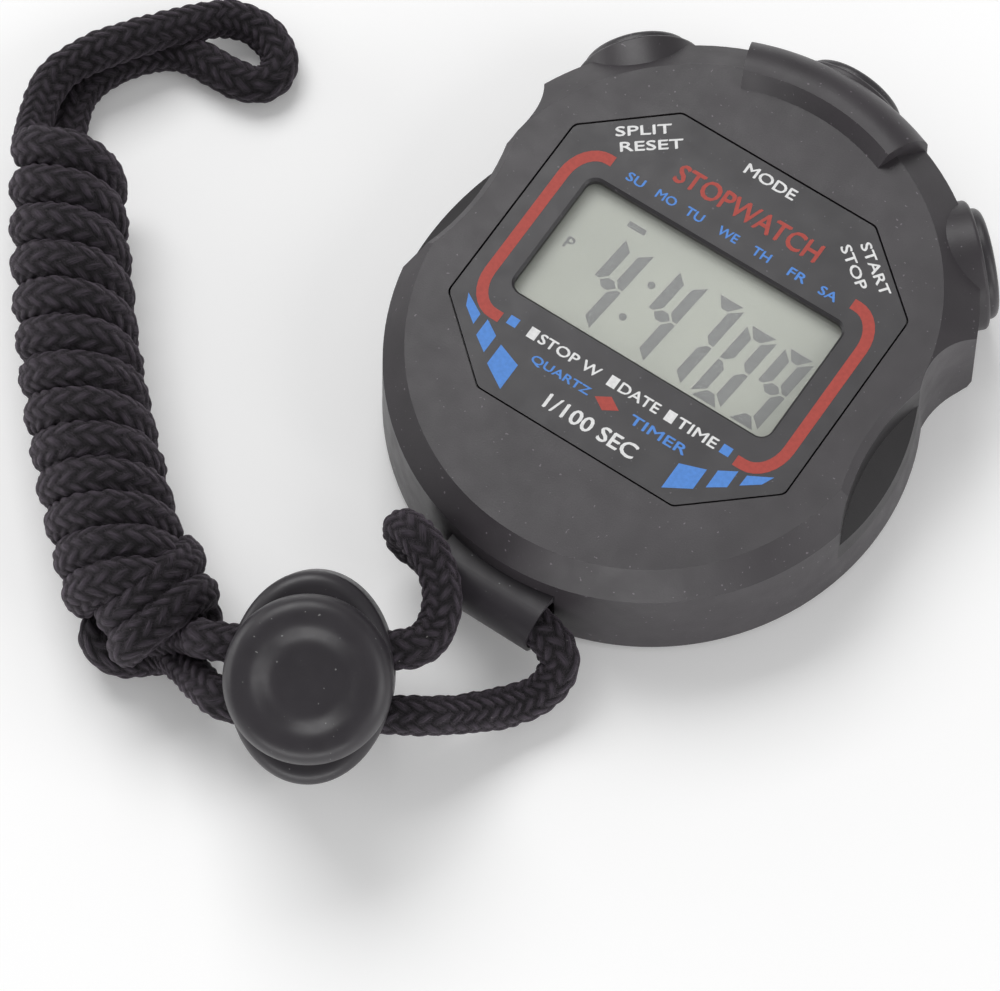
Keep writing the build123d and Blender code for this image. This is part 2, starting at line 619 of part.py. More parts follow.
# ---------------------------------------------------------------- write every node
def main():
    body = outer_body()
    space = cavity()
    save("front_case", front_case(body, space))
    save("back_cover", back_cover(body, space))
    save("dial_panel", dial_panel())
    save("display_lens", display_lens())
    save("lcd_glass", lcd_glass())
    save("lcd_reflector", lcd_reflector())
    save("contact_strips", contact_strips())
    save("display_frame", display_frame())
    save("circuit_board", circuit_board())
    save("chip_cover", chip_cover())
    save("quartz_crystal", quartz_crystal())
    save("chip_components", chip_components())
    save("battery_cell", battery_cell())
    save("battery_contacts", battery_contacts())
    save("piezo_buzzer", piezo_buzzer())
    save("buzzer_springs", buzzer_springs())
    save("button_contacts", button_contacts())
    save("lanyard_lug", lanyard_lug())

    board_screw = screw(BOARD_SCREW_R, BOARD_HEAD_R, 0.9, 4.4)
    head_z = BOARD_Z - 0.9
    save("board_screws", [Pos(x, y, head_z) * board_screw for x, y in BOARD_SCREW_PLACES])
    back_screw = screw(BACK_SCREW_R, BACK_HEAD_R, 1.3, 8.6)
    save("back_screws", [Pos(x, y, BACK_HEAD_Z) * back_screw for x, y in BACK_SCREW_PLACES])

    for name, angle in BUTTON_ANGLES.items():
        save(f"{name}_button", push_button(angle))
        save(f"{name}_spring", return_spring(angle))

    place = lock_plane().location
    save("cord_lock_body", place * lock_body())
    save("cord_lock_plunger", place * lock_plunger())
    save("cord_lock_spring", place * lock_spring())
    save("cord_left", cord_tube("cord_left", STRAND_LEFT))
    save("cord_right", cord_tube("cord_right", STRAND_RIGHT))
    save("cord_loop", cord_tube("cord_loop", LOOP))
    save("cord_hank", cord_hank())


main()
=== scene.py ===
import json
import math

import bpy
import numpy as np
from mathutils import Matrix, Vector


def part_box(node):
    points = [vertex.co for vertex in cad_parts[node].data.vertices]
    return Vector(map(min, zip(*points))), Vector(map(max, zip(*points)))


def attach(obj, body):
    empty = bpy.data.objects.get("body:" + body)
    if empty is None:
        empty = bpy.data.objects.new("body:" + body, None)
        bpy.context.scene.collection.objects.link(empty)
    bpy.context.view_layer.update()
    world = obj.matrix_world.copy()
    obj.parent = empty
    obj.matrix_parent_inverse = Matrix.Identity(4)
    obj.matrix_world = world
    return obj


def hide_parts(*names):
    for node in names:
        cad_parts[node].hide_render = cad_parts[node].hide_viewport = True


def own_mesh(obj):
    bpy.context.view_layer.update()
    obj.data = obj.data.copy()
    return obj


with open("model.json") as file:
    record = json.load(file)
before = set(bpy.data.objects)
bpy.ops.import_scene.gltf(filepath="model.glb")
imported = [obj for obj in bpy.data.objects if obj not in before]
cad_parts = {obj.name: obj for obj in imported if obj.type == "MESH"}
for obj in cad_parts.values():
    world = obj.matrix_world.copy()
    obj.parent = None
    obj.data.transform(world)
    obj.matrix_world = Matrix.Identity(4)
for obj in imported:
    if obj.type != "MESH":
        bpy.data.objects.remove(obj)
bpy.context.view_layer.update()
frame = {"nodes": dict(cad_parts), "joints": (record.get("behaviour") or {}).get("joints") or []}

MM = 0.001
nodes = frame["nodes"]

# ---------------------------------------------------------------- places, in millimetres
PANEL_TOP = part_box("dial_panel")[1].z / MM
LCD_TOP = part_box("lcd_glass")[1].z / MM
SCOOP_FLOOR = 7.0           # lowest height that a finger scoop reaches
CORD_D = 4.6
LOCK_CENTRE = (-9.76, -54.12, 12.44)
LOCK_AXIS = (0.249, -0.316, 0.915)
LOCK_CORD_WAY = (0.853, 0.519, -0.059)
LOCK_HOLE_OFFSET = 3.5      # half the distance between the two cord holes
LOCK_HOLE_SHIFT = -0.4      # how far off the lock's middle the pair of holes sits


# ---------------------------------------------------------------- camera, light and floor
def make_camera():
    target = Vector((-8.1, -19.9, 0.0)) * MM
    distance = 575.5 * MM
    azimuth, elevation, roll = (math.radians(a) for a in (39.13, 66.43, 5.03))
    back = Vector((math.sin(azimuth) * math.cos(elevation),
                   -math.cos(azimuth) * math.cos(elevation), math.sin(elevation)))
    data = bpy.data.cameras.new("camera")
    data.sensor_width = 36.0
    data.lens = 176.8
    data.clip_start, data.clip_end = 0.05, 10.0
    camera = bpy.data.objects.new("camera", data)
    turn = (-back).to_track_quat("-Z", "Y").to_matrix().to_4x4()
    place = Matrix.Translation(target + back * distance)
    camera.matrix_world = place @ turn @ Matrix.Rotation(-roll, 4, "Z")
    bpy.context.scene.collection.objects.link(camera)
    bpy.context.scene.camera = camera


def area_light(name, place, target, size, power):
    data = bpy.data.lights.new(name, "AREA")
    data.shape = "RECTANGLE"
    data.size, data.size_y = size
    data.energy = power
    light = bpy.data.objects.new(name, data)
    place = Vector(place)
    light.location = place
    light.rotation_euler = (Vector(target) - place).to_track_quat("-Z", "Y").to_euler()
    bpy.context.scene.collection.objects.link(light)


SKY_STRENGTH = 0.34
FLOOR_SIZE = 6.0            # metres
LIT_CENTRE = (-0.01, -0.02, 0.01)
# Each light's name, place and size in metres, and power in watts.
LIGHTS = (("key", (-0.55, 0.35, 0.85), (0.8, 0.6), 6.5),
          ("fill", (0.85, 0.1, 0.45), (0.5, 0.8), 3.0),
          ("front", (0.5, -0.95, 0.13), (1.2, 0.24), 5.0),
          ("side", (-0.95, -0.35, 0.2), (0.9, 0.3), 2.5))


def make_studio():
    scene = bpy.context.scene
    scene.view_settings.view_transform = "Standard"
    scene.view_settings.look = "None"
    world = bpy.data.worlds.new("studio")
    scene.world = world
    world.use_nodes = True
    background = world.node_tree.nodes["Background"]
    background.inputs["Color"].default_value = (1, 1, 1, 1)
    background.inputs["Strength"].default_value = SKY_STRENGTH
    for name, place, size, power in LIGHTS:
        area_light(name, place, LIT_CENTRE, size, power)

    bpy.ops.mesh.primitive_plane_add(size=FLOOR_SIZE)
    floor = bpy.context.object
    floor.name = "floor"
    material = bpy.data.materials.new("floor")
    material.use_nodes = True
    shader = material.node_tree.nodes["Principled BSDF"]
    shader.inputs["Base Color"].default_value = (0.97, 0.97, 0.97, 1)
    shader.inputs["Roughness"].default_value = 0.9
    shader.inputs["Specular IOR Level"].default_value = 0.1
    shader.inputs["Emission Color"].default_value = (1, 1, 1, 1)
    shader.inputs["Emission Strength"].default_value = 0.1
    floor.data.materials.append(material)


# ---------------------------------------------------------------- materials
class Shading:
    """A node material with short calls for the textures that the pieces share."""

    def __init__(self, name, roughness, metallic=0.0, specular=0.5):
        self.material = bpy.data.materials.new(name)
        self.material.use_nodes = True
        self.tree = self.material.node_tree
        self.shader = self.tree.nodes["Principled BSDF"]
        self.shader.inputs["Roughness"].default_value = roughness
        self.shader.inputs["Metallic"].default_value = metallic
        self.shader.inputs["Specular IOR Level"].default_value = specular
        self.coordinates = self.tree.nodes.new("ShaderNodeTexCoord")
        self.bumps = []

    def node(self, kind, **values):
        made = self.tree.nodes.new(kind)
        for key, value in values.items():
            setattr(made, key, value)
        return made

    def link(self, source, target):
        self.tree.links.new(source, target)

    def place(self, stretch=(1, 1, 1), space="Object"):
        mapping = self.node("ShaderNodeMapping")
        mapping.inputs["Scale"].default_value = stretch
        self.link(self.coordinates.outputs[space], mapping.inputs["Vector"])
        return mapping.outputs["Vector"]

    def noise(self, grain_mm, detail=2.0, rough=0.5, stretch=(1, 1, 1), space="Object"):
        noise = self.node("ShaderNodeTexNoise")
        scale = 1 / (grain_mm * MM) if space == "Object" else 1 / grain_mm
        noise.inputs["Scale"].default_value = scale
        noise.inputs["Detail"].default_value = detail
        noise.inputs["Roughness"].default_value = rough
        self.link(self.place(stretch, space), noise.inputs["Vector"])
        return noise.outputs["Fac"]

    def ramp(self, factor, stops):
        ramp = self.node("ShaderNodeValToRGB")
        elements = ramp.color_ramp.elements
        while len(elements) < len(stops):
            elements.new(0.5)
        for element, (position, colour) in zip(elements, stops):
            element.position = position
            element.color = (*colour, 1.0) if len(colour) == 3 else colour
        self.link(factor, ramp.inputs["Fac"])
        return ramp.outputs["Color"]

    def grey_ramp(self, factor, stops):
        return self.ramp(factor, [(position, (level,) * 3) for position, level in stops])

    def bump(self, height, depth_mm):
        bump = self.node("ShaderNodeBump")
        bump.inputs["Distance"].default_value = depth_mm * MM
        bump.inputs["Strength"].default_value = 1.0
        self.link(height, bump.inputs["Height"])
        if self.bumps:
            self.link(self.bumps[-1].outputs["Normal"], bump.inputs["Normal"])
        self.bumps.append(bump)
        self.link(bump.outputs["Normal"], self.shader.inputs["Normal"])

    def math(self, operation, first, second=None):
        node = self.node("ShaderNodeMath", operation=operation)
        for index, value in enumerate((first, second)):
            if value is None:
                continue
            if isinstance(value, (int, float)):
                node.inputs[index].default_value = value
            else:
                self.link(value, node.inputs[index])
        return node.outputs[0]

    def mix(self, factor, first, second):
        mix = self.node("ShaderNodeMix", data_type="RGBA")
        self.link(factor, mix.inputs["Factor"])
        for socket, value in (("A", first), ("B", second)):
            target = [s for s in mix.inputs if s.name == socket and s.type == "RGBA"][0]
            if isinstance(value, tuple):
                target.default_value = (*value, 1.0)
            else:
                self.link(value, target)
        return [s for s in mix.outputs if s.type == "RGBA"][0]

    def colour(self, output):
        self.link(output, self.shader.inputs["Base Color"])

    def roughness(self, output):
        self.link(output, self.shader.inputs["Roughness"])


SCOOP_CENTRE = (56.6, 5.2)  # centre of the right finger scoop's upright edge
SCOOP_R = 28.9
SCOOP_TOP = 15.2


def finger_scoops(shading):
    """1 inside either finger scoop, else 0; the colour is made darker there."""
    split = shading.node("ShaderNodeSeparateXYZ")
    shading.link(shading.coordinates.outputs["Object"], split.inputs[0])
    x, y, z = (split.outputs[i] for i in range(3))
    across = shading.math("SUBTRACT", shading.math("ABSOLUTE", x), SCOOP_CENTRE[0] * MM)
    along = shading.math("SUBTRACT", y, SCOOP_CENTRE[1] * MM)
    squares = shading.math("ADD", shading.math("MULTIPLY", across, across),
                           shading.math("MULTIPLY", along, along))
    near = shading.math("LESS_THAN", squares, (SCOOP_R * MM) ** 2)
    low = shading.math("LESS_THAN", z, SCOOP_TOP * MM)
    deep = shading.math("GREATER_THAN", z, SCOOP_FLOOR * MM)
    return shading.math("MULTIPLY", near, shading.math("MULTIPLY", low, deep))


def moulded_plastic(name, dark, light, roughness=0.42, grain=0.22, depth=0.012):
    """Spark-textured moulding: fine grain, slight mottling and a few pale dust specks."""
    shading = Shading(name, roughness)
    mottle = shading.noise(9.0, 3.0)
    base = shading.ramp(mottle, [(0.35, dark), (0.7, light)])
    specks = shading.grey_ramp(shading.noise(0.42, 0.0), [(0.81, 0.0), (0.84, 1.0)])
    base = shading.mix(specks, base, tuple(min(1.0, c * 3.0) for c in light))
    # Darker colour inside the finger scoops.
    shading.colour(shading.mix(finger_scoops(shading), base, tuple(c * 0.45 for c in dark)))
    worn = shading.grey_ramp(shading.noise(3.0, 4.0),
                             [(0.3, roughness - 0.04), (0.7, roughness + 0.05)])
    shading.roughness(worn)
    shading.bump(shading.noise(grain, 2.0, 0.6), depth)
    return shading.material


def polished_plastic(name, colour, roughness=0.22, dust=None):
    """Smooth moulding, slightly mottled, with specks of dust if a colour is given for them."""
    shading = Shading(name, roughness)
    mottle = shading.noise(6.0, 2.0)
    base = shading.ramp(mottle, [(0.3, tuple(c * 0.85 for c in colour)), (0.7, colour)])
    specks = shading.grey_ramp(shading.noise(0.38, 0.0), [(0.835, 0.0), (0.865, 1.0)])
    shading.colour(shading.mix(specks, base, dust or colour))
    shading.roughness(shading.grey_ramp(shading.noise(2.0, 4.0),
                                        [(0.3, roughness - 0.04), (0.75, roughness + 0.07)]))
    shading.bump(shading.noise(0.8, 2.0), 0.003)
    return shading.material


def ink(name, colour):
    shading = Shading(name, 0.5, specular=0.3)
    patchy = shading.noise(0.5, 2.0)
    shading.colour(shading.ramp(patchy, [(0.3, tuple(c * 0.86 for c in colour)), (0.65, colour)]))
    shading.bump(shading.noise(0.18, 1.0), 0.004)
    return shading.material


def metal(name, colour, roughness, grain=(1, 1, 1)):
    shading = Shading(name, roughness, metallic=1.0)
    shading.colour(shading.ramp(shading.noise(2.0, 2.0),
                                [(0.3, tuple(c * 0.85 for c in colour)), (0.7, colour)]))
    shading.roughness(shading.grey_ramp(shading.noise(0.8, 4.0, stretch=grain),
                                        [(0.3, max(0.05, roughness - 0.08)), (0.7, roughness + 0.1)]))
    shading.bump(shading.noise(0.3, 2.0, stretch=grain), 0.002)
    return shading.material


def plain_matt(name, dark, light, roughness=0.6, grain=0.5, depth=0.01):
    shading = Shading(name, roughness, specular=0.35)
    shading.colour(shading.ramp(shading.noise(grain * 4, 3.0), [(0.35, dark), (0.65, light)]))
    shading.bump(shading.noise(grain, 2.0), depth)
    return shading.material


def clear_sheet():
    shading = Shading("clear_lens", 0.06)
    shading.shader.inputs["Base Color"].default_value = (0.9, 0.92, 0.9, 1)
    shading.shader.inputs["Alpha"].default_value = 0.1
    shading.bump(shading.noise(4.0, 1.0), 0.002)
    return shading.material


def display_face():
    """The liquid crystal's grey-green face, faintly mottled."""
    shading = Shading("display_face", 0.35, specular=0.3)
    shading.colour(shading.ramp(shading.noise(14.0, 2.0),
                                [(0.3, (0.40, 0.42, 0.36)), (0.7, (0.47, 0.49, 0.42))]))
    shading.bump(shading.noise(0.25, 1.0), 0.001)
    return shading.material


def braid_material():
    """Black polyester yarn: fibres along each strand, dusty crowns, painted shade in the crevices
    between strands and a few stray pale hairs.
    """
    shading = Shading("cord_braid", 0.75, specular=0.25)
    shading.shader.inputs["Sheen Weight"].default_value = 0.22
    shading.shader.inputs["Sheen Roughness"].default_value = 0.45
    shading.shader.inputs["Sheen Tint"].default_value = (0.78, 0.66, 0.80, 1)
    fibres = shading.noise(1.0, 3.0, 0.65, stretch=(16.0, 1.8, 1.0), space="UV")
    patches = shading.noise(3.5, 3.0, 0.6)
    yarn = shading.ramp(fibres,
                        [(0.40, (0.0022, 0.0018, 0.0024)), (0.64, (0.064, 0.051, 0.068))])
    dusty = shading.grey_ramp(patches, [(0.45, 0.0), (0.75, 0.5)])
    yarn = shading.mix(dusty, yarn, (0.055, 0.045, 0.058))
    # Painted shade: the colour goes towards black the deeper a point lies between the strands.
    hollow = shading.node("ShaderNodeAttribute", attribute_name="hollow")
    shade = shading.grey_ramp(hollow.outputs["Fac"], [(0.06, 0.0), (0.5, 0.96)])
    yarn = shading.mix(shade, yarn, (0.002, 0.0018, 0.002))
    hairs = shading.noise(0.5, 1.0)
    pale = shading.grey_ramp(hairs, [(0.80, 0.0), (0.84, 0.8)])
    shading.colour(shading.mix(pale, yarn, (0.32, 0.31, 0.30)))
    shading.bump(fibres, 0.14)
    return shading.material


# ---------------------------------------------------------------- mesh helpers
def mesh_object(name, vertices, faces, material, smooth=True):
    """A new piece from points in millimetres."""
    mesh = bpy.data.meshes.new(name)
    mesh.from_pydata([tuple(float(c) * MM for c in v) for v in vertices], [], faces)
    mesh.validate()
    mesh.polygons.foreach_set("use_smooth", [smooth] * len(mesh.polygons))
    piece = bpy.data.objects.new(name, mesh)
    bpy.context.scene.collection.objects.link(piece)
    mesh.materials.append(material)
    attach(piece, "watch")
    return piece


STROKE_GAIN = 0.028         # each letter's two copies are moved apart by this much of its height
LAYER_STEP = 0.002          # and one copy stands this much over the other, in millimetres


class Flat:
    """Thin printed shapes on one level plane, gathered into one mesh."""

    def __init__(self, z, thickness):
        self.z, self.thickness = z, thickness
        self.vertices, self.faces = [], []

    def polygon(self, outline):
        """A flat plate from an outline given anticlockwise in (x, y)."""
        count, first = len(outline), len(self.vertices)
        for level in (self.z, self.z + self.thickness):
            self.vertices += [(x, y, level) for x, y in outline]
        self.faces.append([first + count + i for i in range(count)])
        self.faces.append([first + i for i in reversed(range(count))])
        for i in range(count):
            j = (i + 1) % count
            self.faces.append([first + i, first + j, first + count + j, first + count + i])

    def box(self, x, y, width, height):
        half_w, half_h = width / 2, height / 2
        self.polygon([(x - half_w, y - half_h), (x + half_w, y - half_h),
                      (x + half_w, y + half_h), (x - half_w, y + half_h)])

    def text(self, words, x, y, height, width, turn=0.0):
        """Words centred on (x, y), stretched to the given height and width."""
        data = bpy.data.curves.new("words", "FONT")
        data.body = words
        data.align_x, data.align_y = "CENTER", "CENTER"
        data.extrude = 0.5
        data.resolution_u = 3
        text = bpy.data.objects.new("words", data)
        bpy.context.scene.collection.objects.link(text)
        bpy.context.view_layer.update()
        evaluated = text.evaluated_get(bpy.context.evaluated_depsgraph_get())
        mesh = bpy.data.meshes.new_from_object(evaluated)
        points = np.array([v.co[:2] for v in mesh.vertices])
        low, high = points.min(0), points.max(0)
        points = (points - (low + high) / 2) / (high - low) * np.array([width, height])
        c, s = math.cos(math.radians(turn)), math.sin(math.radians(turn))
        points = points @ np.array([[c, s], [-s, c]]) + np.array([x, y])
        for layer, shift in enumerate((-1, 1)):
            first = len(self.vertices)
            moved = points + np.array([c - s, s + c]) * shift * STROKE_GAIN * height
            for vertex, (px, py) in zip(mesh.vertices, moved):
                rise = self.thickness + layer * LAYER_STEP if vertex.co.z > 0 else 0
                self.vertices.append((px, py, self.z + rise))
            self.faces += [[first + i for i in face.vertices] for face in mesh.polygons]
        bpy.data.objects.remove(text)
        bpy.data.meshes.remove(mesh)

    def piece(self, name, material):
        return mesh_object(name, self.vertices, self.faces, material, smooth=False)


# ---------------------------------------------------------------- the cord
# The CAD tubes' routes, in millimetres, in order from the lug's left mouth. Some points are
# moved a little, because the smooth line cuts inside the corners that it goes round.
def lock_point(along, side):
    axis = Vector(LOCK_AXIS).normalized()
    cord_way = Vector(LOCK_CORD_WAY)
    cord_way = (cord_way - axis * cord_way.dot(axis)).normalized()
    across = axis.cross(cord_way)
    off = LOCK_HOLE_SHIFT + side * LOCK_HOLE_OFFSET
    return tuple(Vector(LOCK_CENTRE) + cord_way * along + across * off)


STRAND_LEFT = [
    (-1.2, -32.75, 7.4), (-11.0, -33.1, 5.6), (-12.9, -32.9, 10.6), (-8.9, -34.0, 14.2),
    (-5.2, -35.7, 13.6), (-2.2, -38.8, 13.0), (-1.2, -42.6, 12.2), lock_point(10.4, 1),
    lock_point(-12.0, 1), (-24.3, -56.7, 9.5)]
# Two bights of the left strand laid over the hank's end, lower bight first, and the turn
# under it that leads into the winding.
HITCH = [
    (-27.8, -57.3, 6.5), (-31.2, -59.0, 6.0), (-30.9, -62.4, 8.5), (-29.4, -61.9, 12.0),
    (-28.0, -58.2, 13.0), (-27.2, -54.4, 12.5), (-27.2, -51.6, 9.0), (-28.8, -51.9, 4.5),
    (-30.8, -54.9, 4.2), (-34.4, -57.0, 5.5), (-34.2, -60.1, 9.0), (-32.2, -59.5, 12.5),
    (-30.9, -56.2, 13.4), (-30.4, -52.7, 12.4), (-30.6, -49.8, 9.5), (-32.3, -48.3, 6.5),
    (-33.0, -49.6, 3.2), (-31.6, -52.8, 2.5), (-28.8, -55.4, 2.6), (-26.4, -54.9, 3.4),
    (-25.9, -53.4, 5.6)]
STRAND_RIGHT = [
    (-36.0, -60.1, 3.4), (-35.5, -62.0, 4.2), (-33.3, -62.6, 4.3), (-30.9, -61.4, 3.7),
    (-29.2, -59.5, 3.3), (-26.8, -58.5, 4.4), (-23.8, -59.6, 6.5), (-19.3, -61.5, 10.0),
    lock_point(-9.0, -1), lock_point(12.0, -1), (5.2, -47.2, 6.8), (8.4, -42.6, 3.6),
    (11.4, -38.3, 3.6), (11.0, -33.2, 6.8), (1.2, -32.8, 7.15)]
LOOP = [
    (-80.8, -12.6, 6.2), (-82.6, -6.9, 6.4), (-80.9, -2.2, 6.6), (-77.5, 3.0, 6.4),
    (-73.9, 8.9, 4.6), (-70.6, 13.5, 3.0), (-65.5, 14.2, 2.5), (-61.5, 11.6, 2.4),
    (-62.0, 7.6, 2.4), (-66.4, 6.7, 2.4), (-72.2, 6.8, 2.4), (-76.1, 4.3, 2.4),
    (-79.2, -0.3, 2.4), (-80.3, -4.9, 2.4), (-78.8, -9.0, 2.5),
    (-76.2, -12.8, 2.5)]

# The wound hank: both strands go round one bent axis, half a turn apart, and the turns
# draw closer together towards the hitch.
HANK_START = (-75.85, -11.85)
HANK_MIDDLE = (-56.95, -35.4)
HANK_END = (-34.15, -56.1)
HANK_Z = 7.8
WIND_R = 4.7                # centreline radius of the winding at the far end
WIND_GROWTH = 0.13          # how much the radius grows with each turn
FIRST_PITCH = 10.3          # along the axis, for one full turn of one strand
PITCH_DROP = 0.26           # how much each turn is shorter than the one before
POINTS_PER_TURN = 14
UP_TURNS = (6.75, 0.25)     # first and last turn of the strand that goes out to the loop
DOWN_TURNS = (0.57, 6.57)   # and of the strand that comes back


def hank_axis():
    """Length of the hank's axis, and a function giving its point and its side at a distance."""
    (ax, ay), (bx, by), (cx, cy) = HANK_START, HANK_MIDDLE, HANK_END
    d = 2 * (ax * (by - cy) + bx * (cy - ay) + cx * (ay - by))
    aa, bb, cc = ax**2 + ay**2, bx**2 + by**2, cx**2 + cy**2
    ux = (aa * (by - cy) + bb * (cy - ay) + cc * (ay - by)) / d
    uy = (aa * (cx - bx) + bb * (ax - cx) + cc * (bx - ax)) / d
    radius = math.hypot(ax - ux, ay - uy)
    start = math.atan2(ay - uy, ax - ux)
    sweep = (math.atan2(cy - uy, cx - ux) - start + math.pi) % (2 * math.pi) - math.pi
    length = abs(sweep) * radius

    def at(distance):
        angle = start + sweep * distance / length
        outward = Vector((math.cos(angle), math.sin(angle), 0))
        tangent = Vector((-outward.y, outward.x, 0)) * (1 if sweep > 0 else -1)
        point = Vector((ux, uy, HANK_Z)) + outward * radius
        return point, Vector((0, 0, 1)).cross(tangent)

    return length, at


def winding(phase, first_turn, last_turn):
    """Points of one strand's turns, counted from the hank's far end."""
    _, at = hank_axis()
    count = round(abs(last_turn - first_turn) * POINTS_PER_TURN)
    outside = 2 / (1 + math.cos(2 * math.pi / POINTS_PER_TURN))
    points = []
    for i in range(count + 1):
        turn = first_turn + (last_turn - first_turn) * i / count
        angle = phase - 2 * math.pi * turn
        point, side = at(FIRST_PITCH * turn - PITCH_DROP * turn ** 2 / 2)
        offset = side * math.cos(angle) + Vector((0, 0, 1)) * math.sin(angle)
        points.append(tuple(point + offset * (WIND_R + WIND_GROWTH * turn) * outside))
    return points


def cord_route():
    up = winding(1.5 * math.pi, *UP_TURNS)
    down = winding(0.5 * math.pi, *DOWN_TURNS)
    return STRAND_LEFT + HITCH + up + LOOP + down + STRAND_RIGHT


def smooth_line(points):
    """The route's smooth line, read back as evenly numbered points in metres."""
    curve = bpy.data.curves.new("route", "CURVE")
    curve.dimensions = "3D"
    curve.resolution_u = 16
    spline = curve.splines.new("NURBS")
    spline.points.add(len(points) - 1)
    for target, point in zip(spline.points, points):
        target.co = (*(c * MM for c in point), 1.0)
    spline.order_u = 3
    spline.use_endpoint_u = True
    route = bpy.data.objects.new("route", curve)
    bpy.context.scene.collection.objects.link(route)
    bpy.context.view_layer.update()
    evaluated = route.evaluated_get(bpy.context.evaluated_depsgraph_get())
    mesh = bpy.data.meshes.new_from_object(evaluated)
    line = np.array([v.co for v in mesh.vertices], float)
    bpy.data.objects.remove(route)
    bpy.data.meshes.remove(mesh)
    return line


def even_spacing(line, step):
    gaps = np.linalg.norm(np.diff(line, axis=0), axis=1)
    along = np.concatenate([[0], np.cumsum(gaps)])
    wanted = np.linspace(0, along[-1], int(along[-1] / step) + 1)
    return np.stack([np.interp(wanted, along, line[:, i]) for i in range(3)], 1), wanted


def turning_frames(line):
    """Two side directions along a line, carried without twist."""
    tangents = np.gradient(line, axis=0)
    tangents /= np.linalg.norm(tangents, axis=1)[:, None]
    side = np.cross(tangents[0], [0, 0, 1])
    side /= np.linalg.norm(side)
    sides = []
    for tangent in tangents:
        side = side - tangent * side.dot(tangent)
        side /= np.linalg.norm(side)
        sides.append(side)
    sides = np.array(sides)
    return sides, np.cross(tangents, sides)


HANK_WIDEN = 0.13           # how much wider the cord is along the hank, where turns press on turns
HANK_THIN = 0.07            # and how much thinner it is there, away from the hank's axis
HANK_REACH = 8.5 * MM       # the flattening ends this far from the hank's axis
HANK_FADE = 1.5 * MM        # and sets in over this distance
AXIS_SAMPLES = 80


def flattening(points, ring):
    """What to add to the unit rings round the cord, so that the hank's turns lie flat."""
    length, at = hank_axis()
    axis = np.array([at(d)[0] for d in np.linspace(0, length, AXIS_SAMPLES)]) * MM
    ways = np.gradient(axis, axis=0)
    ways /= np.linalg.norm(ways, axis=1)[:, None]
    apart = np.linalg.norm(points[:, None, :] - axis[None, :, :], axis=2)
    nearest = apart.argmin(axis=1)
    weight = np.clip((HANK_REACH - apart.min(axis=1)) / HANK_FADE, 0, 1)[:, None, None]
    way = ways[nearest]
    outward = points - axis[nearest]
    outward -= way * (outward * way).sum(axis=1)[:, None]
    outward /= np.linalg.norm(outward, axis=1)[:, None]
    lengthways = (ring * way[:, None, :]).sum(axis=2)[:, :, None] * way[:, None, :]
    thick = (ring * outward[:, None, :]).sum(axis=2)[:, :, None] * outward[:, None, :]
    return weight * (HANK_WIDEN * lengthways - HANK_THIN * thick)


BRAID_STRANDS = 10          # each way round
BRAID_CELL = 0.86 * MM      # half the distance between crossings, along the cord
BRAID_HEIGHT = 0.36 * MM    # how far a strand's crown stands over the crossing
BRAID_PROUD = 0.1 * MM      # how far the crowns stand over the cord's nominal surface
CROWN_POWER = 0.6           # below 1, a strand is flatter on top and steeper at its sides
CROWN_LOW = 0.35            # height of a strand's crown where it dives under the next
LUMP_COUNT = 260            # slow swellings along the whole cord
LUMP_SIZE = 0.045 * MM
LOOSE_SIZE = 0.05 * MM      # how unevenly the strands stand out where they cross
CORD_AROUND = 64            # mesh points round the cord
CORD_STEP = 0.19 * MM       # and the distance between its rings


